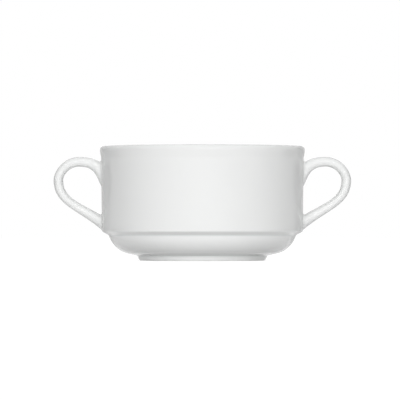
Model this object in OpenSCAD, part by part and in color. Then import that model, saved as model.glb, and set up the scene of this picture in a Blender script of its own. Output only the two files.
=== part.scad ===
// Bouillon cup with two looped handles, fired as one piece of glazed porcelain.
// The foot ring stands on z = 0, the cup's axis is +Z and the handles lie along X.
// Lengths are in millimetres and angles in degrees.

/* [Cup] */
// Height from the table to the crest of the rim
cup_h = 58; // [52:0.5:70]
// Outside diameter over the bead under the rim
rim_d = 104; // [98:0.5:114]
// Thickness of the rim, from the bead to the mouth
rim_t = 4; // [3:0.1:5]
// How far the bead stands out of the wall
bead_proud = 0.6; // [0.2:0.1:1.2]
// Depth below the rim at which the bead stands out most
bead_peak = 2.6; // [2.2:0.1:4]
// Depth below the rim at which the bead runs out into the wall
bead_h = 6.1; // [5:0.1:7]
// How much the wall's radius narrows from the bead down to the shoulder
wall_draft = 0.4; // [0:0.1:1.5]

/* [Stacking step] */
// Height of the shoulder, which rests on the rim of the cup below in a stack
step_h = 14.75; // [13:0.25:18]
// Height of the shoulder's sloping underside
shoulder_h = 2.1; // [1.5:0.1:3]
// Radial gap between the part below the shoulder and the mouth of the cup below
stack_gap = 0.5; // [0.3:0.05:1]

/* [Bowl] */
// Radius of the curve between the underside and the side of the bowl
bowl_round = 13.4; // [9:0.2:14]
// Lean of the bowl's side, from upright, where it meets the shoulder
bowl_lean = 20; // [12:1:26]
// Slope of the underside where it leaves the foot ring
underside_rise = 12; // [6:1:16]

/* [Foot ring] */
// Outside diameter of the foot ring on the table
foot_d = 63.8; // [56:0.2:68]
// Width of the foot ring on the table
foot_w = 2.8; // [2.2:0.1:4]
// Height of the foot ring's outer side
foot_h = 2.5; // [2:0.1:3.5]
// How much the foot ring's outer side widens on its way up
foot_flare = 1.2; // [0.6:0.1:2]
// Depth of the recess inside the foot ring
recess_h = 2.3; // [1.5:0.1:3]

/* [Inside] */
// Thickness of the floor over the recess
floor_t = 4.7; // [4:0.1:6]
// Radius of the curve between the floor and the inner wall
inner_round = 16; // [12:0.5:20]
// How much the mouth's radius narrows on its way down to the floor
inner_draft = 1.3; // [0.8:0.1:2.5]

/* [Handles] */
// Overall width of the cup over both handles
handle_span = 151; // [142:1:162]
// Thickness of the strap, seen from the front
strap_t = 4.9; // [4:0.1:6]
// Width of the strap, front to back
strap_w = 9; // [7:0.5:13]
// Squareness of the strap's section, where 2 is an ellipse
strap_squareness = 2.3; // [2:0.1:3]
// Depth of the loop's crown below the rim
crown_drop = 5.45; // [4:0.05:8]
// Distance of the loop's crown from the wall
crown_reach = 11.1; // [8:0.1:14]
// Depth of the loop's outermost point below its crown
tip_drop = 11.8; // [9:0.1:15]

/* [Handle joints] */
// Depth of the upper joint's top edge below the rim
upper_joint_drop = 8.1; // [7:0.1:10]
// Height of the upper joint on the wall
upper_root_h = 12.2; // [9:0.1:15]
// Height of the lower joint's bottom edge above the shoulder
lower_joint_rise = 1.05; // [0.6:0.05:4]
// Height of the lower joint on the wall
lower_root_h = 7.1; // [6:0.1:9]
// How much wider the strap is at its joints, front to back
root_flare = 2.4; // [0:0.2:4]
// Length of strap over which a joint's flare fades out
root_length = 9; // [6:0.5:12]
// Radius of the slip fillet where the strap meets the wall
joint_fillet = 0.8; // [0.4:0.1:1.2]

/* [Hidden] */

porcelain = [0.93, 0.94, 0.93];

// Facets round the cup and round the handle's section
cup_facets = 60;
strap_facets = 20;
// Facets along each of the three curves of the handle, and along a joint's fillet
rise_facets = 9;
turn_facets = 11;
fall_facets = 12;
fillet_facets = 3;
// Largest turn of one facet on a small round and on a large one
small_turn = 18;
large_turn = 8;
// Radius from which a round counts as large
large_radius = 5;

// Small rounds that every fired edge has
foot_round = 0.7;
crease_round = 0.7;
step_round = 0.8;
shoulder_round = 1.5;
bead_round = 2;
bead_foot_round = 8;
rim_round_outside = 1.75;
rim_round_inside = 2;
recess_round = 1;
// How far the rim's outer side leans in above the bead
rim_tuck = 0.1;
// How much the recess narrows towards its ceiling
recess_draft = 1;

// Radii of the body
rim_r = rim_d / 2;
mouth_r = rim_r - rim_t;
wall_top_r = rim_r - bead_proud;
wall_low_r = wall_top_r - wall_draft;
step_r = mouth_r - stack_gap;
foot_r = foot_d / 2;
recess_r = foot_r - foot_w;
floor_z = recess_h + floor_t;

// Slopes of the strap's two edges, from level, where they meet the wall
upper_slope_outside = 22.5;
upper_slope_inside = 60.5;
lower_slope_outside = 38;
lower_slope_inside = 30.5;
// Pull of the curves at their two ends, as shares of the curve's chord
rise_pull = [0.34, 0.56];
turn_pull = [0.46, 0.26];
fall_pull = [0.35, 0.48];

// Places of the handle, as [x, z]
upper_joint_z = cup_h - upper_joint_drop;
lower_joint_z = step_h + lower_joint_rise;
crown = [wall_top_r + crown_reach, cup_h - crown_drop];
tip = [handle_span / 2, crown[1] - tip_drop];
// The strap's curves begin this far outside the wall, and its ends are buried this deep in it
joint_stub = 0.1;
joint_depth = rim_t / 2;

// Direction of a line that rises at the given angle from level
function heading(angle) = [cos(angle), sin(angle)];

function unit(v) = v / norm(v);

// Point where the line through a at angle_a crosses the line through b at angle_b
function crossing(a, angle_a, b, angle_b) =
    a + heading(angle_a) * cross(b - a, heading(angle_b)) / sin(angle_b - angle_a);

// An outline is a list of corners, each [r, z, radius of its round]
function place(path, i) = [path[i][0], path[i][1]];

function half_angle(path, i) =
    acos(unit(place(path, i - 1) - place(path, i)) * unit(place(path, i + 1) - place(path, i))) / 2;

function is_end(path, i) = i == 0 || i == len(path) - 1;

// Length that a corner's round wants on each of its two legs
function wanted_leg(path, i) = is_end(path, i) ? 0 : path[i][2] / tan(half_angle(path, i));

// Share of the wanted length that the leg from corner i to corner j has room for
function leg_share(path, i, j) =
    min(1, norm(place(path, j) - place(path, i)) / (wanted_leg(path, i) + wanted_leg(path, j)));

function leg(path, i) = wanted_leg(path, i) * min(leg_share(path, i, i - 1), leg_share(path, i, i + 1));

function facets_for(turn, radius) =
    max(2, ceil(abs(turn) / (radius < large_radius ? small_turn : large_turn)));

// Points of the round at corner i, from its first leg to its second
function corner_round(path, i) =
    let (
        corner = place(path, i),
        back = unit(place(path, i - 1) - corner),
        onward = unit(place(path, i + 1) - corner),
        half = half_angle(path, i),
        radius = leg(path, i) * tan(half),
        centre = corner + unit(back + onward) * radius / sin(half),
        first = corner + back * leg(path, i) - centre,
        start = atan2(first[1], first[0]),
        turn = sign(cross(onward, back)) * (180 - 2 * half),
        count = facets_for(turn, radius)
    )
    [for (k = [0:count]) centre + radius * heading(start + turn * k / count)];

// The whole outline with its rounds
function rounded(path) = [
    for (i = [0:len(path) - 1])
        each is_end(path, i) ? [place(path, i)] : corner_round(path, i)
];

// Corners of the cup's section, from the middle of the recess round to the middle of the floor
crease = [foot_r + foot_flare, foot_h];
step_corner = [step_r, step_h - shoulder_h];
bowl_corner = crossing(crease, underside_rise, step_corner, 90 - bowl_lean);

underside_corners = [
    [0, recess_h, 0],
    [recess_r - recess_draft, recess_h, recess_round],
    [recess_r, 0, foot_round],
    [foot_r, 0, foot_round],
    [crease[0], crease[1], crease_round]
];
side_corners = [
    [bowl_corner[0], bowl_corner[1], bowl_round],
    [step_corner[0], step_corner[1], step_round],
    [wall_low_r, step_h, shoulder_round],
    [wall_top_r, cup_h - bead_h, bead_foot_round],
    [rim_r, cup_h - bead_peak, bead_round],
    [rim_r - rim_tuck, cup_h, rim_round_outside]
];
inside_corners = [
    [mouth_r, cup_h, rim_round_inside],
    [mouth_r - inner_draft, floor_z, inner_round],
    [0, floor_z, 0]
];

module cup_body() {
    rotate_extrude($fn = cup_facets)
        polygon(rounded(concat(underside_corners, side_corners, inside_corners)));
}

// Point at t, from 0 to 1, on the curve with ends a and d and pulls towards b and c
function curve_point(a, b, c, d, t) =
    pow(1 - t, 3) * a + 3 * pow(1 - t, 2) * t * b + 3 * (1 - t) * t * t * c + pow(t, 3) * d;

// Points at the given stations of a curve that leaves a along angle_a and reaches d along angle_d
function curve(a, angle_a, d, angle_d, pull, stations) =
    let (chord = norm(d - a))
    [for (t = stations) curve_point(
        a, a + pull[0] * chord * heading(angle_a),
        d - pull[1] * chord * heading(angle_d), d, t)];

function even_stations(count) = [for (i = [1:count]) i / count];

// Stations of a curve that leaves the wall, close together over the fillet and then even.
// The length of its pull sets how fast it leaves.
function stations_off_wall(pull_length, count) =
    let (fillet_end = joint_fillet / (3 * pull_length))
    concat(
        [for (i = [1:fillet_facets]) fillet_end * i / fillet_facets],
        [for (t = even_stations(count)) fillet_end + (1 - fillet_end) * t]
    );

// The same for a curve that runs into the wall
function stations_to_wall(pull_length, count) =
    let (away = stations_off_wall(pull_length, count))
    [for (i = [len(away) - 2:-1:0]) 1 - away[i]];

// Radius of the wall's outside at height z
function wall_r(z) = wall_low_r + wall_draft * (z - step_h) / (cup_h - bead_h - step_h);

// Point of the XZ plane at height z, the given distance outside the wall
function off_wall(z, distance) = [wall_r(z) + distance, z];

// One edge of the strap, from inside the wall over the crown and the tip back into the wall
function strap_edge(upper_z, upper_slope, inset, lower_z, lower_slope) =
    let (
        upper = off_wall(upper_z, joint_stub),
        top = crown - [0, inset],
        side = tip - [inset, 0],
        lower = off_wall(lower_z, joint_stub),
        rise_stations = stations_off_wall(rise_pull[0] * norm(top - upper), rise_facets),
        fall_stations = stations_to_wall(fall_pull[1] * norm(lower - side), fall_facets)
    )
    concat(
        [off_wall(upper_z, -joint_depth), upper],
        curve(upper, upper_slope, top, 0, rise_pull, rise_stations),
        curve(top, 0, side, -90, turn_pull, even_stations(turn_facets)),
        curve(side, -90, lower, 180 + lower_slope, fall_pull, fall_stations),
        [lower, off_wall(lower_z, -joint_depth)]
    );

outer_edge = strap_edge(upper_joint_z, upper_slope_outside, 0, lower_joint_z, lower_slope_outside);
inner_edge = strap_edge(upper_joint_z - upper_root_h, upper_slope_inside, strap_t,
    lower_joint_z + lower_root_h, lower_slope_inside);

// Share of a joint's flare that is left at the given distance from the wall
function flare_left(distance) = pow(max(0, 1 - max(0, distance) / root_length), 2);

// How far the fillet swells the strap at the given distance from the wall
function fillet_swell(distance) =
    let (inside = min(joint_fillet, max(0, joint_fillet - distance)))
    joint_fillet - sqrt(pow(joint_fillet, 2) - pow(inside, 2));

// How far the round wall falls back at y from its foremost line
function wall_fall(y) = wall_top_r - sqrt(pow(wall_top_r, 2) - y * y);

// Sine or cosine drawn out towards a square by the section's squareness
function squared(value) = sign(value) * pow(abs(value), 2 / strap_squareness);

// Ring of points round the strap between its two edges, as [x, y, z]
function strap_ring(outer, inner) =
    let (
        middle = (outer + inner) / 2,
        half_t = (outer - inner) / 2,
        left = flare_left(middle[0] - wall_r(middle[1])),
        half_w = (strap_w + root_flare * left) / 2
    )
    [for (k = [0:strap_facets - 1])
        let (
            up = squared(cos(360 * k / strap_facets)),
            back = squared(sin(360 * k / strap_facets)),
            bare = middle + half_t * up,
            swell = fillet_swell(bare[0] - wall_r(bare[1])),
            p = bare + unit(half_t) * swell * up,
            y = (half_w + swell) * back
        )
        [p[0] - wall_fall(y) * left, y, p[1]]];

module handle() {
    rings = [for (i = [0:len(outer_edge) - 1]) strap_ring(outer_edge[i], inner_edge[i])];
    last = len(rings) - 1;
    n = strap_facets;
    sides = [
        for (i = [0:last - 1], k = [0:n - 1])
            let (a = i * n + k, b = i * n + (k + 1) % n)
            each [[a, b, b + n], [a, b + n, a + n]]
    ];
    start_cap = [for (k = [n - 1:-1:0]) k];
    end_cap = [for (k = [0:n - 1]) last * n + k];
    polyhedron(
        points = [for (ring = rings) each ring],
        faces = concat(sides, [start_cap, end_cap]),
        convexity = 4
    );
}

module bouillon_cup() {
    color(porcelain) {
        cup_body();
        for (side = [0, 1]) mirror([side, 0, 0]) handle();
    }
}

bouillon_cup();
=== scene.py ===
"""Bouillon cup in glazed white porcelain, with two looped strap handles.

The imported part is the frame: its solid sets the cup's height, width and span, and the one visible
piece modelled here stands in its place. The body is drawn as a section and turned, its edges are
rounded, and a strap is led from an opening in the wall over the crown and the tip and back, so body,
foot ring and handles are one closed skin, as glaze makes them.

Lengths are in metres and angles in degrees. The foot ring stands on z = 0, the cup's axis is +Z, the
handles lie along X and the front faces -Y. Points of the section and of the strap's edges are vectors
of two numbers: distance from the axis and height above the table.
"""

import logging
import math
from collections.abc import Callable, Iterable, Mapping, Sequence
from dataclasses import dataclass
from enum import Enum
from typing import Any

import bmesh
import bpy
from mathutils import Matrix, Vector


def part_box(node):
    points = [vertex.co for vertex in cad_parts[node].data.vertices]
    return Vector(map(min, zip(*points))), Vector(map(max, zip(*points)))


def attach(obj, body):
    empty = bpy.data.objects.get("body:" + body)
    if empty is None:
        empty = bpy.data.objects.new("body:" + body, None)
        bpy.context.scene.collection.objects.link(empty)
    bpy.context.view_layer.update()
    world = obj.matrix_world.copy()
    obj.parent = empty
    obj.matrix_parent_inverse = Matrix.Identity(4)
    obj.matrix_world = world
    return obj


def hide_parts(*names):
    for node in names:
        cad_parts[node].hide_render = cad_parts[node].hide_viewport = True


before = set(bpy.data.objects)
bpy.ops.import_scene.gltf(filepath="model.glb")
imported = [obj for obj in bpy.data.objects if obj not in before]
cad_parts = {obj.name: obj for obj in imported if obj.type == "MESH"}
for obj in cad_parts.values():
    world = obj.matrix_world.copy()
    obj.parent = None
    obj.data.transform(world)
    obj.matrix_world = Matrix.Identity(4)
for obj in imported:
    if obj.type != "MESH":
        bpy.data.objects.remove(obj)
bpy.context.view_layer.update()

NODE = "bouillon_cup"
BODY = "root"
SLOT = "glazed_porcelain"
LOG = logging.getLogger("bouillon_cup")

# Points closer than this are one point
WELD = 1e-6

# Decimals to which the frame's sizes and the places of points are taken
SIZE_DIGITS = 4
PLACE_DIGITS = 6

# Shares of its own place and of each neighbour's that a smoothed point takes
OWN_SHARE = 4 / 6
NEIGHBOUR_SHARE = 1 / 6

MM_PER_METRE = 1000

Color = tuple[float, float, float]
Place = tuple[float, float, float]
Piece = bpy.types.Object
Material = bpy.types.Material
Socket = bpy.types.NodeSocket


def heading(angle: float) -> Vector:
    """Return the direction that rises at an angle in degrees from level."""
    return Vector((math.cos(math.radians(angle)), math.sin(math.radians(angle))))


def crossing(a: Vector, angle_a: float, b: Vector, angle_b: float) -> Vector:
    """Find where two lines cross.

    Args:
        a: Point on the first line.
        angle_a: Its slope in degrees.
        b: Point on the second line.
        angle_b: Its slope in degrees.

    Returns:
        The point that both lines pass through.
    """
    along = heading(angle_b)
    apart = b - a
    across = apart.x * along.y - apart.y * along.x
    return a + heading(angle_a) * across / math.sin(math.radians(angle_b - angle_a))


def smoothing_gain(count: int) -> float:
    """Return how much wider a ring of count points is than the smooth curve it gives."""
    return 1 / (OWN_SHARE + 2 * NEIGHBOUR_SHARE * math.cos(math.tau / count))


def cage_for(wanted: Sequence[float], rounds: int = 12) -> list[float]:
    """Move a row of values so that the smooth curve they give passes through the wanted ones.

    Args:
        wanted: Values that the smoothed row is to have, with the two ends kept.
        rounds: How often the row is corrected.

    Returns:
        The values of the cage.
    """
    cage = list(wanted)
    for _ in range(rounds):
        smooth = [
            OWN_SHARE * here + NEIGHBOUR_SHARE * (before + after)
            for before, here, after in zip(cage, cage[1:], cage[2:])
        ]
        inner = [here + goal - got for here, goal, got in zip(cage[1:], wanted[1:], smooth)]
        cage = [cage[0], *inner, cage[-1]]
    return cage


def report(piece: Piece) -> None:
    """Report a piece with its faces and its size."""
    size = piece.dimensions * MM_PER_METRE
    LOG.info("%s: %d faces, %.1f x %.1f x %.1f mm", piece.name, len(piece.data.polygons), *size)


class Element(Enum):
    """What is picked in edit mode, with the name of its list in the mesh."""

    VERT = "verts"
    EDGE = "edges"
    FACE = "faces"


class Workpiece:
    """A mesh on the bench: it stays in edit mode, and what an operator acts on is picked by place."""

    def __init__(self, name: str, start: Vector) -> None:
        """Put a single point on the bench.

        Args:
            name: Name of the piece.
            start: Where the point lies.
        """
        bpy.ops.object.select_all(action="DESELECT")
        bpy.ops.mesh.primitive_plane_add()
        self.object = bpy.context.object
        self.object.name = name
        self.object.data.name = name
        bpy.ops.object.mode_set(mode="EDIT")
        bpy.ops.mesh.select_mode(type=Element.VERT.name)
        self.pick_all()
        bpy.ops.mesh.merge(type="CENTER")
        bpy.ops.transform.translate(value=start)

    def pick(self, kind: Element, wanted: Callable[[Any], bool]) -> set[int]:
        """Select the elements that pass a test, and nothing else.

        Args:
            kind: Kind of element.
            wanted: Test of one element.

        Returns:
            Their indices.
        """
        bpy.ops.mesh.select_mode(type=kind.name)
        bpy.ops.mesh.select_all(action="DESELECT")
        mesh = bmesh.from_edit_mesh(self.object.data)
        mesh.verts.index_update()
        picked = [element for element in getattr(mesh, kind.value) if wanted(element)]
        for element in picked:
            element.select_set(True)
        mesh.select_flush_mode()
        bmesh.update_edit_mesh(self.object.data)
        return {element.index for element in picked}

    def pick_all(self) -> None:
        """Select the whole mesh."""
        bpy.ops.mesh.select_all(action="SELECT")

    def picked_places(self) -> list[Vector]:
        """Return the places of the selected vertices."""
        mesh = bmesh.from_edit_mesh(self.object.data)
        return [vert.co.copy() for vert in mesh.verts if vert.select]

    def vertex_count(self) -> int:
        """Return how many vertices the mesh has."""
        return len(bmesh.from_edit_mesh(self.object.data).verts)

    def draw_to(self, step: Vector) -> None:
        """Draw what is selected on by one step."""
        bpy.ops.mesh.extrude_region_move(TRANSFORM_OT_translate={"value": step})

    def cut_out_faces(self) -> None:
        """Delete the selected faces, and number the vertices afresh, so that new ones come last."""
        bpy.ops.mesh.delete(type="FACE")
        bpy.ops.object.mode_set(mode="OBJECT")
        bpy.ops.object.mode_set(mode="EDIT")

    def bridge(self, rings: tuple[set[int], set[int]]) -> None:
        """Join two open rings with a band of faces.

        Args:
            rings: Indices of the vertices of either ring.
        """
        self.pick(
            Element.EDGE,
            lambda edge: len(edge.link_faces) < 2
            and any(all(vert.index in ring for vert in edge.verts) for ring in rings),
        )
        bpy.ops.mesh.bridge_edge_loops()

    def apply(self, kind: str, **settings: Any) -> None:
        """Add a modifier to the whole piece and apply it.

        Args:
            kind: Blender's name for the modifier.
            **settings: Its settings.
        """
        bpy.ops.object.mode_set(mode="OBJECT")
        modifier = self.object.modifiers.new(kind.lower(), kind)
        for name, value in settings.items():
            setattr(modifier, name, value)
        bpy.ops.object.modifier_apply(modifier=modifier.name)
        bpy.ops.object.mode_set(mode="EDIT")

    def open_edges(self) -> int:
        """Return how many edges don't have exactly two faces."""
        mesh = bmesh.from_edit_mesh(self.object.data)
        return sum(len(edge.link_faces) != 2 for edge in mesh.edges)

    def take_off(self) -> Piece:
        """Return the finished object, out of edit mode."""
        bpy.ops.object.mode_set(mode="OBJECT")
        return self.object


@dataclass(frozen=True)
class Round:
    """The round of an edge.

    Attributes:
        radius: Its radius.
        facets: Facets that it is drawn with.
    """

    radius: float
    facets: int


@dataclass(frozen=True)
class Corner:
    """A corner of the cup's section.

    Attributes:
        r: Distance from the axis.
        z: Height above the table.
        edge: Its round. The two corners on the axis have none.
    """

    r: float
    z: float
    edge: Round | None = None

    @property
    def place(self) -> Vector:
        """The corner as a point of the section."""
        return Vector((self.r, self.z))

    def is_along(self, line: bmesh.types.BMEdge, gain: float, slack: float = 2e-5) -> bool:
        """Tell whether an edge of a mesh that is wider by gain lies along this corner's circle."""
        places = [Vector((vert.co.xy.length / gain, vert.co.z)) for vert in line.verts]
        return all((place - self.place).length < slack for place in places)


@dataclass(frozen=True)
class TurnedBody:
    """The turned body: foot ring, bowl, stacking shoulder, wall, bead and rim.

    Attributes:
        height: Height of the rim's crest.
        rim_r: Radius over the bead.
        rim_t: Thickness at the mouth.
        rim_tuck: How far the crest lies inside the bead.
        bead_proud: How far the bead stands off the wall.
        bead_peak: Drop from the crest to the bead's widest place.
        bead_h: Drop from the crest to where the bead begins.
        wall_draft: How far the wall narrows downwards.
        step_h: Height of the wall's lower end.
        shoulder_h: Fall of the shoulder under the wall.
        stack_gap: Play in the mouth of the cup below, in a stack.
        bowl_slope: Slope of the bowl's side.
        underside_rise: Slope of its underside.
        foot_r: Outer radius of the foot ring on the table.
        foot_w: Width of the foot ring there.
        foot_h: Height of the foot ring.
        foot_flare: How far it widens upwards.
        recess_h: Height of the recess inside it.
        recess_draft: How far the recess narrows upwards.
        floor_t: Thickness of the floor.
        inner_draft: How far the inside narrows downwards.
        segments: Facets of a full turn.
        recess_edge: Round of the first corner. The others follow in the order of the section.
    """

    height: float
    rim_r: float
    rim_t: float = 0.004
    rim_tuck: float = 0.0001
    bead_proud: float = 0.0006
    bead_peak: float = 0.0026
    bead_h: float = 0.0061
    wall_draft: float = 0.0004
    step_h: float = 0.0147
    shoulder_h: float = 0.0018
    stack_gap: float = 0.0005
    bowl_slope: float = 70
    underside_rise: float = 12.6
    foot_r: float = 0.0319
    foot_w: float = 0.0028
    foot_h: float = 0.0025
    foot_flare: float = 0.0012
    recess_h: float = 0.0023
    recess_draft: float = 0.001
    floor_t: float = 0.0047
    inner_draft: float = 0.0013
    segments: int = 80
    recess_edge: Round = Round(0.001, 3)
    foot_edge: Round = Round(0.0007, 3)
    crease_edge: Round = Round(0.0007, 3)
    bowl_edge: Round = Round(0.0122, 9)
    step_edge: Round = Round(0.002, 4)
    shoulder_edge: Round = Round(0.0011, 4)
    bead_foot_edge: Round = Round(0.008, 2)
    bead_edge: Round = Round(0.002, 2)
    crest_edge: Round = Round(0.00175, 5)
    mouth_edge: Round = Round(0.002, 5)
    well_edge: Round = Round(0.016, 12)

    @property
    def wall_top_r(self) -> float:
        """Radius of the wall where the bead begins."""
        return self.rim_r - self.bead_proud

    @property
    def mouth_r(self) -> float:
        """Radius of the mouth."""
        return self.rim_r - self.rim_t

    @property
    def crease(self) -> Corner:
        """Crease between the foot ring and the bowl."""
        return Corner(self.foot_r + self.foot_flare, self.foot_h, self.crease_edge)

    @property
    def step(self) -> Corner:
        """Crease under the shoulder. What lies below it fits the mouth of the next cup."""
        return Corner(self.mouth_r - self.stack_gap, self.step_h - self.shoulder_h, self.step_edge)

    @property
    def creases(self) -> tuple[Corner, Corner]:
        """The two creases in which glaze gathers."""
        return self.crease, self.step

    @property
    def shoulder(self) -> Corner:
        """Lower end of the wall, which rests on the rim of the cup below in a stack."""
        return Corner(self.wall_top_r - self.wall_draft, self.step_h, self.shoulder_edge)

    @property
    def bead_foot(self) -> Corner:
        """Upper end of the wall, where the bead begins."""
        return Corner(self.wall_top_r, self.height - self.bead_h, self.bead_foot_edge)

    def corners(self) -> list[Corner]:
        """Lay out the section.

        Returns:
            Its corners, from the middle of the recess round the outside to the middle of the floor.
        """
        recess_r = self.foot_r - self.foot_w
        floor_z = self.recess_h + self.floor_t
        bowl = crossing(self.crease.place, self.underside_rise, self.step.place, self.bowl_slope)
        return [
            Corner(0, self.recess_h),
            Corner(recess_r - self.recess_draft, self.recess_h, self.recess_edge),
            Corner(recess_r, 0, self.foot_edge),
            Corner(self.foot_r, 0, self.foot_edge),
            self.crease,
            Corner(bowl.x, bowl.y, self.bowl_edge),
            self.step,
            self.shoulder,
            self.bead_foot,
            Corner(self.rim_r, self.height - self.bead_peak, self.bead_edge),
            Corner(self.rim_r - self.rim_tuck, self.height, self.crest_edge),
            Corner(self.mouth_r, self.height, self.mouth_edge),
            Corner(self.mouth_r - self.inner_draft, floor_z, self.well_edge),
            Corner(0, floor_z),
        ]

    def rounded(self) -> list[tuple[Corner, float]]:
        """Measure how far each round reaches along the section.

        Returns:
            The corners between the two on the axis, each with its reach to either side.
        """
        corners = self.corners()
        reaches = []
        for before, here, after in zip(corners, corners[1:], corners[2:]):
            turn = (here.place - before.place).angle(after.place - here.place)
            reaches.append((here, here.edge.radius * math.tan(turn / 2)))
        return reaches

    def wall_rows(self) -> tuple[float, float]:
        """Find the plain wall between the shoulder's round and the bead's.

        Returns:
            The heights at which it begins and ends.
        """
        reach = {corner.z: reach for corner, reach in self.rounded()}
        low, high = self.shoulder.z, self.bead_foot.z
        return low + reach[low], high - reach[high]

    def wall_r(self, z: float) -> float:
        """Return the wall's outside radius at height z."""
        low, high = self.shoulder, self.bead_foot
        return low.r + (high.r - low.r) * (z - low.z) / (high.z - low.z)

    def wall_fall(self, y: float) -> float:
        """Return how far the round wall falls back at y from its foremost line."""
        return self.wall_top_r - math.sqrt(self.wall_top_r**2 - y**2)

    def turn(self, piece: Workpiece) -> None:
        """Draw the section beyond its first point and turn it through the half towards +X.

        Args:
            piece: Bench with the first corner on it.
        """
        gain = smoothing_gain(self.segments)
        path = [Vector((0, corner.r * gain, corner.z)) for corner in self.corners()]
        for here, there in zip(path, path[1:]):
            piece.draw_to(there - here)
        piece.pick_all()
        bpy.ops.mesh.spin(steps=self.segments // 2, angle=math.pi, center=(0, 0, 0), axis=(0, 0, 1))
        piece.pick_all()
        bpy.ops.mesh.remove_doubles(threshold=WELD)

    def round_edges(self, piece: Workpiece) -> None:
        """Round every turned edge at its own radius.

        Args:
            piece: Bench with the turned section.
        """
        gain = smoothing_gain(self.segments)
        for corner, reach in self.rounded():
            piece.pick(Element.EDGE, lambda line: corner.is_along(line, gain))
            bpy.ops.mesh.bevel(
                offset=reach,
                offset_type="OFFSET",
                segments=corner.edge.facets,
                affect="EDGES",
                clamp_overlap=False,
            )


@dataclass(frozen=True)
class Joint:
    """A place where a strap's end meets the wall.

    Attributes:
        top_z: Height of the joint's top edge.
        height: Height of the joint on the wall.
        outer_slope: Slope of the strap's outer edge there.
        inner_slope: Slope of its inner edge there.
    """

    top_z: float
    height: float
    outer_slope: float
    inner_slope: float

    @property
    def bottom_z(self) -> float:
        """Height of the joint's bottom edge."""
        return self.top_z - self.height


@dataclass(frozen=True)
class Pull:
    """How far a curve holds its direction at its two ends, as shares of its chord."""

    start: float
    end: float


@dataclass(frozen=True)
class Station:
    """A cut through the strap.

    Attributes:
        outer: Point of the strap's outer edge.
        inner: Point of its inner edge.
        half_w: Half of its width, front to back.
        hug: Share of the wall's roundness that the cut follows.
    """

    outer: Vector
    inner: Vector
    half_w: float
    hug: float


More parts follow.
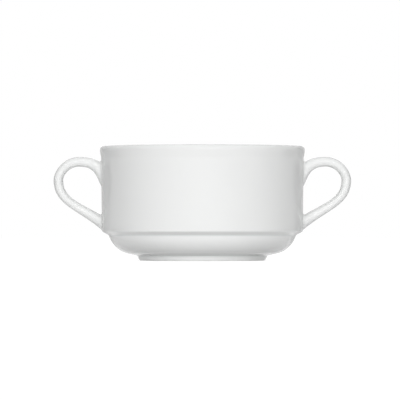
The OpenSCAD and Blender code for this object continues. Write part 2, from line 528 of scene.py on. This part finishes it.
@dataclass(frozen=True)
class StrapHandle:
    """One looped strap, from the wall over its crown and tip back into the wall.

    Attributes:
        body: The body that carries it.
        tip_x: Farthest reach of the strap from the cup's axis.
        thickness: Thickness between its two edges.
        width: Width, front to back.
        crown_drop: Drop from the rim's crest to the crown.
        crown_reach: Distance of the crown from the wall.
        tip_drop: Drop from the crown to the tip.
        root_flare: Extra width at the wall.
        root_length: Length of that flare.
        fillet: Radius of the slip fillet at the wall.
        under_share: Share of the fillet on a joint's underside.
        belly: Extra fullness of the lower joint's underside.
        upper_drop: Drop from the rim's crest to the upper joint.
        upper_h: Height of the upper joint.
        upper_slopes: Slopes of the outer and the inner edge there.
        lower_rise: Rise from the wall's lower end to the lower joint.
        lower_h: Height of the lower joint.
        lower_slopes: Slopes of the outer and the inner edge there.
        rise: Pull between the wall and the crown.
        turn: Pull between the crown and the tip.
        fall: Pull between the tip and the wall.
        fillet_stations: Cuts through each fillet.
        rise_stations: Further cuts as far as the crown.
        turn_stations: Cuts between the crown and the tip.
        fall_stations: Cuts between the tip and the lower fillet.
        crowding: How closely the cuts crowd towards the wall.
        points: Points round a cut.
        squareness: Extra fullness on the section's diagonals.
        patch_cells: Cells of the wall, each way, that a joint opens.
        patch_margin: Reach of such a patch beyond its joint.
        rows_between: Rows cut into the wall between the patches.
    """

    body: TurnedBody
    tip_x: float
    thickness: float = 0.0049
    width: float = 0.009
    crown_drop: float = 0.00545
    crown_reach: float = 0.0111
    tip_drop: float = 0.0118
    root_flare: float = 0.0024
    root_length: float = 0.009
    fillet: float = 0.0011
    under_share: float = 0.1
    belly: float = 0.0003
    upper_drop: float = 0.0081
    upper_h: float = 0.0122
    upper_slopes: tuple[float, float] = (22.5, 60.5)
    lower_rise: float = 0.0011
    lower_h: float = 0.0071
    lower_slopes: tuple[float, float] = (38, 30.5)
    rise: Pull = Pull(0.34, 0.56)
    turn: Pull = Pull(0.46, 0.26)
    fall: Pull = Pull(0.35, 0.48)
    fillet_stations: int = 3
    rise_stations: int = 8
    turn_stations: int = 10
    fall_stations: int = 14
    crowding: float = 1.3
    points: int = 16
    squareness: float = 0.068
    patch_cells: int = 4
    patch_margin: float = 0.0013
    rows_between: int = 2

    @property
    def upper(self) -> Joint:
        """The joint under the rim."""
        return Joint(self.body.height - self.upper_drop, self.upper_h, *self.upper_slopes)

    @property
    def lower(self) -> Joint:
        """The joint above the shoulder."""
        bottom = self.body.step_h + self.lower_rise
        return Joint(bottom + self.lower_h, self.lower_h, *self.lower_slopes)

    @property
    def crown(self) -> Vector:
        """Highest point of the strap's outer edge."""
        return Vector((self.body.wall_top_r + self.crown_reach, self.body.height - self.crown_drop))

    @property
    def tip(self) -> Vector:
        """Outermost point of the strap's outer edge."""
        return Vector((self.tip_x, self.crown.y - self.tip_drop))

    def patches(self) -> tuple[list[float], list[float]]:
        """Lay out the two patches of the wall that the joints open.

        Returns:
            The heights of the rows of the lower patch and of the upper one.
        """
        bottom, top = self.body.wall_rows()
        low_end = self.lower.top_z + self.patch_margin + self.fillet
        high_end = self.upper.bottom_z - self.patch_margin
        cells = self.patch_cells
        lower = [bottom + (low_end - bottom) * i / cells for i in range(cells + 1)]
        upper = [high_end + (top - high_end) * i / cells for i in range(cells + 1)]
        return lower, upper

    def swell(self, distance: float) -> float:
        """Return how far the slip fillet stands off the strap at a distance from the wall."""
        inside = min(self.fillet, max(0.0, self.fillet - distance))
        return self.fillet - math.sqrt(self.fillet**2 - inside**2)

    def flare_left(self, distance: float) -> float:
        """Return the share of a joint's flare that is left at a distance from the wall."""
        return max(0.0, 1 - max(0.0, distance) / self.root_length) ** 2

    def shares_off_wall(self, count: int, pull_length: float) -> list[float]:
        """Spread the cuts along a curve that leaves the wall.

        Args:
            count: Cuts beyond the fillet.
            pull_length: How far the curve holds its direction at the wall.

        Returns:
            How far along the curve each cut lies, from 0 to 1.
        """
        # The curve is a cubic one, which sets off at three times its pull
        end = self.fillet / (3 * pull_length)
        quarter = math.pi / 2
        steps = self.fillet_stations - 1
        close = [end * (1 - math.cos(quarter * i / steps)) for i in range(steps + 1)]
        return close + [end + (1 - end) * (i / count) ** self.crowding for i in range(1, count + 1)]

    def edge(
        self, start_z: float, start_slope: float, inset: float, end_z: float, end_slope: float
    ) -> list[Vector]:
        """Lead one edge of the strap from the wall over the crown and the tip back to the wall.

        Args:
            start_z: Height at which it leaves the wall.
            start_slope: Its slope there.
            inset: How far it runs inside the crown and the tip.
            end_z: Height at which it comes back to the wall.
            end_slope: Its slope there.

        Returns:
            Its points.
        """
        level, down, back = 0, -90, 180
        start = Vector((self.body.wall_r(start_z), start_z))
        crown = self.crown - Vector((0, inset))
        tip = self.tip - Vector((inset, 0))
        end = Vector((self.body.wall_r(end_z), end_z))
        rise = self.shares_off_wall(self.rise_stations, self.rise.start * (crown - start).length)
        turn = [i / self.turn_stations for i in range(1, self.turn_stations + 1)]
        fall = self.shares_off_wall(self.fall_stations, self.fall.end * (end - tip).length)
        fall = [1 - share for share in reversed(fall[:-1])]
        return [
            *self.curve(start, start_slope, crown, level, self.rise, rise),
            *self.curve(crown, level, tip, down, self.turn, turn),
            *self.curve(tip, down, end, back + end_slope, self.fall, fall),
        ]

    @staticmethod
    def curve(
        a: Vector, angle_a: float, d: Vector, angle_d: float, pull: Pull, shares: Iterable[float]
    ) -> list[Vector]:
        """Draw a smooth curve between two points.

        Args:
            a: Where it starts.
            angle_a: Its direction there, in degrees from level.
            d: Where it ends.
            angle_d: Its direction there.
            pull: How far it holds the two directions.
            shares: How far along each point lies, from 0 to 1.

        Returns:
            Its points.
        """
        chord = (d - a).length
        b = a + heading(angle_a) * pull.start * chord
        c = d - heading(angle_d) * pull.end * chord
        return [
            a * (1 - t) ** 3 + b * 3 * (1 - t) ** 2 * t + c * 3 * (1 - t) * t**2 + d * t**3
            for t in shares
        ]

    def stations(self) -> list[Station]:
        """Cut the strap all along.

        Returns:
            The cuts, from the upper joint to the lower one.
        """
        upper, lower = self.upper, self.lower
        outer = self.edge(upper.top_z, upper.outer_slope, 0, lower.bottom_z, lower.outer_slope)
        inner = self.edge(
            upper.bottom_z, upper.inner_slope, self.thickness, lower.top_z, lower.inner_slope
        )
        return [self.station(*points) for points in zip(outer, inner)]

    def station(self, outer: Vector, inner: Vector) -> Station:
        """Widen one cut by the flare and the slip fillet of the joint that it is near.

        Args:
            outer: Point of the strap's outer edge.
            inner: Point of its inner edge.

        Returns:
            The cut.
        """
        across = (outer - inner).normalized()
        middle = (outer + inner) / 2
        off_outer, off_inner, off_middle = (
            point.x - self.body.wall_r(point.y) for point in (outer, inner, middle)
        )
        flare = self.flare_left(off_middle)
        if outer.y > inner.y:
            outer_share, inner_share, belly = 1, self.under_share, 0
        else:
            outer_share, inner_share, belly = self.under_share, 1, self.belly * flare
        return Station(
            outer + across * (self.swell(off_outer) * outer_share + belly),
            inner - across * self.swell(off_inner) * inner_share,
            (self.width + self.root_flare * flare) / 2 + self.swell(off_middle),
            flare,
        )

    def cage(self) -> list[Station]:
        """Move the cuts so that the smoothed strap passes through the wanted ones.

        Returns:
            The moved cuts.
        """
        cuts = self.stations()
        rows = [[*cut.outer, *cut.inner, cut.half_w] for cut in cuts]
        columns = [cage_for(column) for column in zip(*rows)]
        return [
            Station(Vector((outer_r, outer_z)), Vector((inner_r, inner_z)), half_w, cut.hug)
            for outer_r, outer_z, inner_r, inner_z, half_w, cut in zip(*columns, cuts)
        ]

    def cut_rows(self, piece: Workpiece) -> None:
        """Cut rows into the wall, so that each joint's patch has whole cells.

        Args:
            piece: Bench with the turned body.
        """
        lower, upper = self.patches()
        gap = (upper[0] - lower[-1]) / (self.rows_between + 1)
        between = [lower[-1] + gap * i for i in range(1, self.rows_between + 1)]
        for z in [*lower[1:], *between, *upper[:-1]]:
            piece.pick_all()
            bpy.ops.mesh.bisect(plane_co=(0, 0, z), plane_no=(0, 0, 1), threshold=WELD)

    def is_in_patch(self, place: Vector, rows: Sequence[float], slack: float = 0.01) -> bool:
        """Tell whether a place on the mesh lies in a joint's patch of the wall, or on its edge.

        Args:
            place: The place.
            rows: Heights of the patch's rows.
            slack: Share of a cell and of the patch's height that counts as on its edge.

        Returns:
            True if it does.
        """
        reach = math.tau / self.body.segments * (self.patch_cells / 2 + slack)
        spare = slack * (rows[-1] - rows[0])
        is_outside = place.xy.length > self.body.wall_r(place.z) - self.body.rim_t / 2
        is_beside = abs(math.atan2(place.y, place.x)) < reach
        return is_outside and is_beside and rows[0] - spare < place.z < rows[-1] + spare

    def lay_ring(self, piece: Workpiece, cut: Station) -> set[int]:
        """Lay a ring of points round one cut through the strap.

        Args:
            piece: Bench with the turned body.
            cut: The cut.

        Returns:
            Indices of the ring's vertices.
        """
        first = piece.vertex_count()
        middle = (cut.outer + cut.inner) / 2
        centre = Vector((middle.x, 0, middle.y))
        across = cut.outer - cut.inner
        gain = smoothing_gain(self.points)
        half_t = across.length / 2 * gain
        half_w = cut.half_w * gain
        bpy.ops.mesh.select_all(action="DESELECT")
        bpy.ops.mesh.primitive_circle_add(vertices=self.points, radius=half_t, location=centre)
        bpy.ops.transform.resize(value=(1, half_w / half_t, 1), center_override=centre)
        diagonal, slack = math.sqrt(0.5), 0.01
        piece.pick(
            Element.VERT,
            lambda vert: vert.index >= first and abs(abs(vert.co.y) / half_w - diagonal) < slack,
        )
        square = 1 + self.squareness
        bpy.ops.transform.resize(value=(square, square, square), center_override=centre)
        piece.pick(Element.VERT, lambda vert: vert.index >= first)
        bpy.ops.transform.rotate(
            value=math.atan2(across.y, across.x), orient_axis="Y", center_override=centre
        )
        self.hug_wall(piece, first, cut.hug)
        return set(range(first, piece.vertex_count()))

    def hug_wall(self, piece: Workpiece, first: int, hug: float) -> None:
        """Bend the newest ring back with the round wall.

        Args:
            piece: Bench with the ring on it.
            first: Index of the ring's first vertex.
            hug: Share of the wall's roundness that it follows.
        """
        stand = self.body.wall_top_r * (smoothing_gain(self.body.segments) - 1)
        for level in sorted({round(abs(place.y), PLACE_DIGITS) for place in piece.picked_places()}):
            piece.pick(
                Element.VERT,
                lambda vert: vert.index >= first and round(abs(vert.co.y), PLACE_DIGITS) == level,
            )
            bpy.ops.transform.translate(value=((stand - self.body.wall_fall(level)) * hug, 0, 0))

    def model(self, piece: Workpiece) -> None:
        """Lead the strap out of the wall and back into it.

        Args:
            piece: Bench with the turned half of the body.
        """
        self.cut_rows(piece)
        patches = self.patches()
        piece.pick(
            Element.FACE,
            lambda face: any(self.is_in_patch(face.calc_center_median(), rows) for rows in patches),
        )
        piece.cut_out_faces()
        lower, upper = (
            piece.pick(Element.VERT, lambda vert: vert.is_boundary and self.is_in_patch(vert.co, rows))
            for rows in patches
        )
        rings = [upper, *(self.lay_ring(piece, cut) for cut in self.cage()), lower]
        for pair in zip(rings, rings[1:]):
            piece.bridge(pair)


@dataclass(frozen=True)
class BouillonCup:
    """The whole cup as one closed skin.

    Attributes:
        body: The turned body.
        handle: The strap towards +X, of which the other one is the mirror image.
        smoothing: Rounds of smoothing that the skin gets.
    """

    body: TurnedBody
    handle: StrapHandle
    smoothing: int = 1

    @classmethod
    def from_frame(cls) -> "BouillonCup":
        """Take the cup's height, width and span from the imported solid.

        Returns:
            The cup.
        """
        _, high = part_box(NODE)
        body = TurnedBody(height=round(high.z, SIZE_DIGITS), rim_r=round(high.y, SIZE_DIGITS))
        return cls(body, StrapHandle(body, tip_x=round(high.x, SIZE_DIGITS)))

    def model(self) -> Piece:
        """Model half of the cup with one strap, mirror it and smooth the whole.

        Returns:
            The cup.
        """
        start = self.body.corners()[0]
        piece = Workpiece("cup", Vector((0, start.r, start.z)))
        self.body.turn(piece)
        self.body.round_edges(piece)
        self.handle.model(piece)
        piece.apply("MIRROR", use_axis=(True, False, False), merge_threshold=WELD)
        piece.apply("SUBSURF", levels=self.smoothing, render_levels=self.smoothing)
        piece.pick_all()
        bpy.ops.mesh.normals_make_consistent(inside=False)
        LOG.info("cup: %d open edges", piece.open_edges())
        cup = piece.take_off()
        bpy.ops.object.shade_smooth()
        report(cup)
        return cup


class Number:
    """A number that a node gives. Arithmetic on it adds Math nodes."""

    def __init__(self, graph: "Graph", socket: Socket) -> None:
        """Wrap a node's output socket."""
        self.graph = graph
        self.socket = socket

    def __add__(self, other: "Number | float") -> "Number":
        """Return the sum."""
        return self.graph.math("ADD", self, other)

    def __sub__(self, other: "Number | float") -> "Number":
        """Return the difference."""
        return self.graph.math("SUBTRACT", self, other)

    def __rsub__(self, other: "Number | float") -> "Number":
        """Return the difference from a plain number."""
        return self.graph.math("SUBTRACT", other, self)

    def __mul__(self, other: "Number | float") -> "Number":
        """Return the product."""
        return self.graph.math("MULTIPLY", self, other)

    def __pow__(self, other: "Number | float") -> "Number":
        """Return the power."""
        return self.graph.math("POWER", self, other)

    __radd__ = __add__
    __rmul__ = __mul__

    def at_least(self, floor: float) -> "Number":
        """Return the number, or the floor where it is lower."""
        return self.graph.math("MAXIMUM", self, floor)

    def ramp(self, start: float, end: float) -> "Number":
        """Turn the number into a smooth step.

        Args:
            start: Value up to which the step is 0.
            end: Value from which on it is 1.

        Returns:
            The step.
        """
        values = {"Value": self, "From Min": start, "From Max": end}
        step = self.graph.node("MapRange", values, interpolation_type="SMOOTHSTEP")
        return self.graph.number(step)


Value = Number | Socket | float | Sequence[float]


@dataclass(frozen=True)
class Pattern:
    """A cloudy pattern.

    Attributes:
        scale: Clouds to the metre.
        detail: Octaves of finer clouds.
    """

    scale: float
    detail: float


class Graph:
    """A node tree that is written as expressions."""

    def __init__(self, tree: bpy.types.NodeTree) -> None:
        """Start with an empty tree."""
        self.tree = tree
        tree.nodes.clear()

    def node(
        self, kind: str, values: Mapping[Any, Value] | None = None, **settings: Any
    ) -> bpy.types.Node:
        """Add a node.

        Args:
            kind: Blender's name for its type, without the leading ShaderNode.
            values: What its input sockets are given or linked to, by name or number.
            **settings: Its settings, which are set first.

        Returns:
            The node.
        """
        node = self.tree.nodes.new("ShaderNode" + kind)
        for name, setting in settings.items():
            setattr(node, name, setting)
        for key, value in (values or {}).items():
            if isinstance(value, Number):
                value = value.socket
            if isinstance(value, Socket):
                self.tree.links.new(value, node.inputs[key])
            else:
                node.inputs[key].default_value = value
        return node

    def number(self, node: bpy.types.Node, output: int | str = 0) -> Number:
        """Return one of a node's outputs as a number."""
        return Number(self, node.outputs[output])

    def math(self, operation: str, *terms: Number | float) -> Number:
        """Return the result of a Math node, by Blender's name for the operation."""
        return self.number(self.node("Math", dict(enumerate(terms)), operation=operation))

    def noise(self, at: Value, pattern: Pattern) -> Number:
        """Return a cloudy pattern round 0.5 at the given coordinates."""
        values = {"Vector": at, "Scale": pattern.scale, "Detail": pattern.detail}
        return self.number(self.node("TexNoise", values))

    def blend(self, mask: Number, low: Value, high: Value) -> Socket:
        """Blend two colours.

        Args:
            mask: Share of the high colour.
            low: Colour where the mask is 0.
            high: Colour where it is 1.

        Returns:
            The blend.
        """
        mask_socket, low_socket, high_socket, result = 0, 6, 7, 2
        values = {mask_socket: mask, low_socket: low, high_socket: high}
        return self.node("Mix", values, data_type="RGBA").outputs[result]


class Ray(Enum):
    """Kinds of rays that are shown the white of the backdrop, by their name on Light Path."""

    CAMERA = "Is Camera Ray"
    GLOSSY = "Is Glossy Ray"
    TRANSMISSION = "Is Transmission Ray"


def seen(graph: Graph) -> Number:
    """Tell the rays that show a surface to the eye from those that only light others.

    Args:
        graph: Node tree.

    Returns:
        1 for the former and 0 for the latter.
    """
    path = graph.node("LightPath")
    first, *others = (graph.number(path, ray.value) for ray in Ray)
    return sum(others, first)


def opaque(color: Color) -> tuple[float, float, float, float]:
    """Return a colour with full cover."""
    return (*color, 1.0)


def grey(brightness: float) -> tuple[float, float, float, float]:
    """Return an opaque grey."""
    return opaque((brightness, brightness, brightness))


def new_material(name: str) -> tuple[Material, Graph]:
    """Start a material.

    Args:
        name: Its name.

    Returns:
        The material and its node tree, which is empty.
    """
    material = bpy.data.materials.new(name)
    material.use_nodes = True
    return material, Graph(material.node_tree)


@dataclass(frozen=True)
class GlazedPorcelain:
    """Clear gloss glaze over white porcelain. It pools in the creases and is wiped off the foot ring.

    Attributes:
        white: Colour of the glazed body.
        cloud: Its colour in the faint clouds.
        pooled: Colour of deep glaze.
        biscuit: Colour of the bare clay.
        gloss: Roughness of the glaze.
        gloss_drift: How much rougher it is in places.
        matt: Roughness of the bare clay.
        refraction: Index of refraction of the glaze.
        clouds: Pattern of the clouds.
        drift: Pattern of the rougher places.
        wipe: Pattern of the wiped edge.
        waves: Pattern of the glaze's slow waves.
        peel: Pattern of its finer peel.
        grain: Pattern of the bare clay's grain.
        wave_height: Height of the waves.
        peel_height: Height of the peel.
        grain_height: Height of the grain.
        pool_width: How far from a crease the glaze pools.
        bare_below: Height below which the foot ring is wiped bare.
        bare_edge: Height over which the glaze begins.
    """

    white: Color = (0.86, 0.866, 0.86)
    cloud: Color = (0.84, 0.848, 0.844)
    pooled: Color = (0.79, 0.82, 0.81)
    biscuit: Color = (0.78, 0.765, 0.73)
    gloss: float = 0.055
    gloss_drift: float = 0.03
    matt: float = 0.75
    refraction: float = 1.5
    clouds: Pattern = Pattern(45, 3)
    drift: Pattern = Pattern(55, 2)
    wipe: Pattern = Pattern(330, 2)
    waves: Pattern = Pattern(55, 1)
    peel: Pattern = Pattern(330, 1)
    grain: Pattern = Pattern(5200, 2)
    wave_height: float = 0.00002
    peel_height: float = 0.000003
    grain_height: float = 0.00002
    pool_width: float = 0.0009
    bare_below: float = 0.00008
    bare_edge: float = 0.00008

    def material(self, creases: Sequence[Corner]) -> Material:
        """Mix the glaze.

        Args:
            creases: Creases of the section, in which it pools.

        Returns:
            The material.
        """
        material, graph = new_material(SLOT)
        at = graph.node("TexCoord").outputs["Object"]
        axes = graph.node("SeparateXYZ", {0: at})
        x, y, z = (graph.number(axes, axis) for axis in "XYZ")
        r = graph.math("SQRT", x * x + y * y)
        bare = self.bare(graph, at, z)
        color = graph.blend(graph.noise(at, self.clouds), opaque(self.white), opaque(self.cloud))
        color = graph.blend(self.pool(graph, r, z, creases), color, opaque(self.pooled))
        color = graph.blend(bare, color, opaque(self.biscuit))
        gloss = self.gloss + self.gloss_drift * graph.noise(at, self.drift)
        values = {
            "Base Color": color,
            "Roughness": gloss + (self.matt - gloss) * bare,
            "IOR": self.refraction,
            "Normal": self.relief(graph, at, bare),
        }
        shader = graph.node("BsdfPrincipled", values)
        graph.node("OutputMaterial", {"Surface": shader.outputs[0]})
        return material

    def bare(self, graph: Graph, at: Value, z: Number) -> Number:
        """Return where the foot ring is left unglazed, with the uneven edge of a wiped glaze."""
        edge = self.bare_edge * graph.noise(at, self.wipe)
        return 1 - (z - edge).ramp(self.bare_below, self.bare_below + self.bare_edge)

    def pool(self, graph: Graph, r: Number, z: Number, creases: Sequence[Corner]) -> Number:
        """Let the glaze pool.

        Args:
            graph: Node tree.
            r: Distance from the cup's axis.
            z: Height above the table.
            creases: Creases of the section.

        Returns:
            How deep it pools, from 0 to 1.
        """
        pools = []
        for crease in creases:
            aside = r - crease.r
            above = z - crease.z
            away = graph.math("SQRT", aside * aside + above * above)
            pools.append(1 - away.ramp(0, self.pool_width))
        return sum(pools[1:], pools[0])

    def relief(self, graph: Graph, at: Value, bare: Number) -> Socket:
        """Shape the glaze's slight waves and peel, and the bare clay's grain.

        Args:
            graph: Node tree.
            at: Object coordinates.
            bare: Where the clay is bare.

        Returns:
            The normal.
        """
        waves = self.wave_height * graph.noise(at, self.waves)
        glaze = waves + self.peel_height * graph.noise(at, self.peel)
        clay = self.grain_height * graph.noise(at, self.grain)
        full = 1.0
        values = {"Strength": full, "Distance": full, "Height": glaze + (clay - glaze) * bare}
        return graph.node("Bump", values).outputs[0]


@dataclass(frozen=True)
class PaleFloor:
    """A pale floor, which the eye sees white and which keeps the cup's shadow.

    Attributes:
        albedo: Share of the light that it gives back to the cup.
        glow: Brightness that the eye sees even in full shadow.
        shade: Share of the light that the eye sees besides.
    """

    albedo: float = 0.67
    glow: float = 0.88
    shade: float = 0.25

    def material(self) -> Material:
        """Mix the floor's two faces, one for the cup and one for the eye.

        Returns:
            The material.
        """
        material, graph = new_material("pale_floor")
        material.cycles.emission_sampling = "NONE"
        plain = graph.node("BsdfDiffuse", {"Color": grey(self.albedo)})
        shade = graph.node("BsdfDiffuse", {"Color": grey(self.shade)})
        glow = graph.node("Emission", {"Strength": self.glow})
        white = graph.node("AddShader", {0: shade.outputs[0], 1: glow.outputs[0]})
        values = {0: seen(graph), 1: plain.outputs[0], 2: white.outputs[0]}
        surface = graph.node("MixShader", values)
        graph.node("OutputMaterial", {"Surface": surface.outputs[0]})
        return material


@dataclass(frozen=True)
class PaintedReflectionCard:
    """A pale grey card that glows at one even brightness without being lit: a painted darker
    reflection for the glaze.
    """

    brightness: float = 0.7

    def material(self) -> Material:
        """Mix the card's grey glow, which paints a darker reflection on the glaze.

        Returns:
            The material.
        """
        material, graph = new_material("grey_card")
        material.cycles.emission_sampling = "NONE"
        # Painted reflection: an unlit grey glow that only the glaze mirrors, which darkens its edges
        glow = graph.node("Emission", {"Strength": self.brightness})
        graph.node("OutputMaterial", {"Surface": glow.outputs[0]})
        return material


@dataclass(frozen=True)
class SoftLight:
    """A soft light that fills part of the sky above the table.

    Attributes:
        towards: Direction that it comes from.
        strength: Brightness in its middle.
        focus: How quickly it fades away from there.
        lowness: How closely it keeps to the level of the table.
    """

    towards: Place
    strength: float
    focus: float
    lowness: float = 0

    def glow(self, graph: Graph, at: Value, up: Number) -> Number:
        """Spread the light over the sky.

        Args:
            graph: Node tree.
            at: Direction of the sky.
            up: How far it points up.

        Returns:
            Its brightness in that direction.
        """
        aim = tuple(Vector(self.towards).normalized())
        facing = graph.node("VectorMath", {0: at, 1: aim}, operation="DOT_PRODUCT")
        near = graph.number(facing, "Value").at_least(0) ** self.focus
        return near * (1 - up) ** self.lowness * self.strength


class PassingRay(Enum):
    """Kinds of rays that pass through the card, by the object's setting for each."""

    CAMERA = "visible_camera"
    DIFFUSE = "visible_diffuse"
    SHADOW = "visible_shadow"
    TRANSMISSION = "visible_transmission"


@dataclass(frozen=True)
class Studio:
    """A white light tent: an even white for the eye, and large soft lights for the cup.

    Attributes:
        lights: The lights in front, above and behind.
        fill: Brightness of the rest of the sky.
        floor_size: Width of the floor.
        floor_finish: Finish of the floor.
        card_width: Width of the card.
        card_height: How high it stands up at the back.
        card_start: How far behind the cup's axis it begins.
        card_depth: How far back it lies on the floor.
        card_lift: How far above the floor it lies.
        card_finish: Finish of the card, a grey glow that paints a darker reflection in the glaze.
    """

    lights: tuple[SoftLight, ...] = (
        SoftLight(towards=(0, -1, 0), strength=13, focus=6, lowness=3),
        SoftLight(towards=(0, 0, 1), strength=11.5, focus=60),
        SoftLight(towards=(0, 1, 0.2), strength=20, focus=45),
    )
    fill: float = 0.01
    floor_size: float = 8
    floor_finish: PaleFloor = PaleFloor()
    card_width: float = 1.9
    card_height: float = 0.35
    card_start: float = 0.034
    card_depth: float = 0.77
    card_lift: float = 0.0004
    card_finish: PaintedReflectionCard = PaintedReflectionCard()

    def light(self) -> None:
        """Make the sky."""
        world = bpy.data.worlds.new("light_tent")
        world.use_nodes = True
        bpy.context.scene.world = world
        graph = Graph(world.node_tree)
        at = graph.node("TexCoord").outputs["Generated"]
        up = graph.number(graph.node("SeparateXYZ", {0: at}), "Z")
        glow = sum((light.glow(graph, at, up) for light in self.lights), self.fill)
        glow = glow * graph.math("GREATER_THAN", up, 0)
        strength = glow + (1 - glow) * seen(graph)
        background = graph.node("Background", {"Color": grey(1), "Strength": strength})
        graph.node("OutputWorld", {"Surface": background.outputs[0]})
        LOG.info("%s: %d soft lights", world.name, len(self.lights))

    def lay_floor(self) -> Piece:
        """Lay the floor under the cup.

        Returns:
            The floor.
        """
        bpy.ops.mesh.primitive_plane_add(size=self.floor_size)
        floor = bpy.context.object
        floor.name = "floor"
        floor.data.materials.append(self.floor_finish.material())
        report(floor)
        return floor

    def set_card(self) -> Piece:
        """Lay the card behind the cup and bend it up at the back. Only the glaze mirrors it, as a
        painted darker reflection at its edges.

        Returns:
            The card.
        """
        sheet = Workpiece("card", Vector((-self.card_width / 2, self.card_start, self.card_lift)))
        sheet.draw_to(Vector((self.card_width, 0, 0)))
        sheet.pick_all()
        sheet.draw_to(Vector((0, self.card_depth, 0)))
        sheet.draw_to(Vector((0, 0, self.card_height)))
        card = sheet.take_off()
        # Only glossy rays see the card, so it does nothing but paint a darker reflection in the glaze
        for ray in PassingRay:
            setattr(card, ray.value, False)
        card.data.materials.append(self.card_finish.material())
        report(card)
        return card


@dataclass(frozen=True)
class Camera:
    """The photograph's viewpoint: far off, in front and almost level with the cup.

    Attributes:
        place: Where the camera stands.
        aim: What it looks at.
        view_width: Width that it sees there.
        sensor: Width of its sensor, in millimetres.
    """

    place: Place = (-0.0012, -2.13, 0.0172)
    aim: Place = (-0.0012, 0, 0.0307)
    view_width: float = 0.203
    sensor: float = 36

    def set_up(self) -> None:
        """Place the camera."""
        sight = Vector(self.aim) - Vector(self.place)
        turn = sight.to_track_quat("-Z", "Y").to_euler()
        bpy.ops.object.camera_add(location=self.place, rotation=turn)
        camera = bpy.context.object
        camera.data.sensor_width = self.sensor
        camera.data.lens = self.sensor * sight.length / self.view_width
        bpy.context.scene.camera = camera
        LOG.info("camera: %.0f mm lens, %.2f m away", camera.data.lens, sight.length)


def main() -> None:
    """Build the cup, its finish, the light, the floor, the card and the camera in order."""
    logging.basicConfig(level=logging.INFO, format="%(message)s")
    cup = BouillonCup.from_frame()
    piece = cup.model()
    piece.data.materials.append(GlazedPorcelain().material(cup.body.creases))
    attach(piece, BODY)
    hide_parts(NODE)
    studio = Studio()
    studio.light()
    studio.lay_floor()
    studio.set_card()
    Camera().set_up()
    bpy.context.scene.view_settings.view_transform = "Standard"


if __name__ == "__main__":
    main()
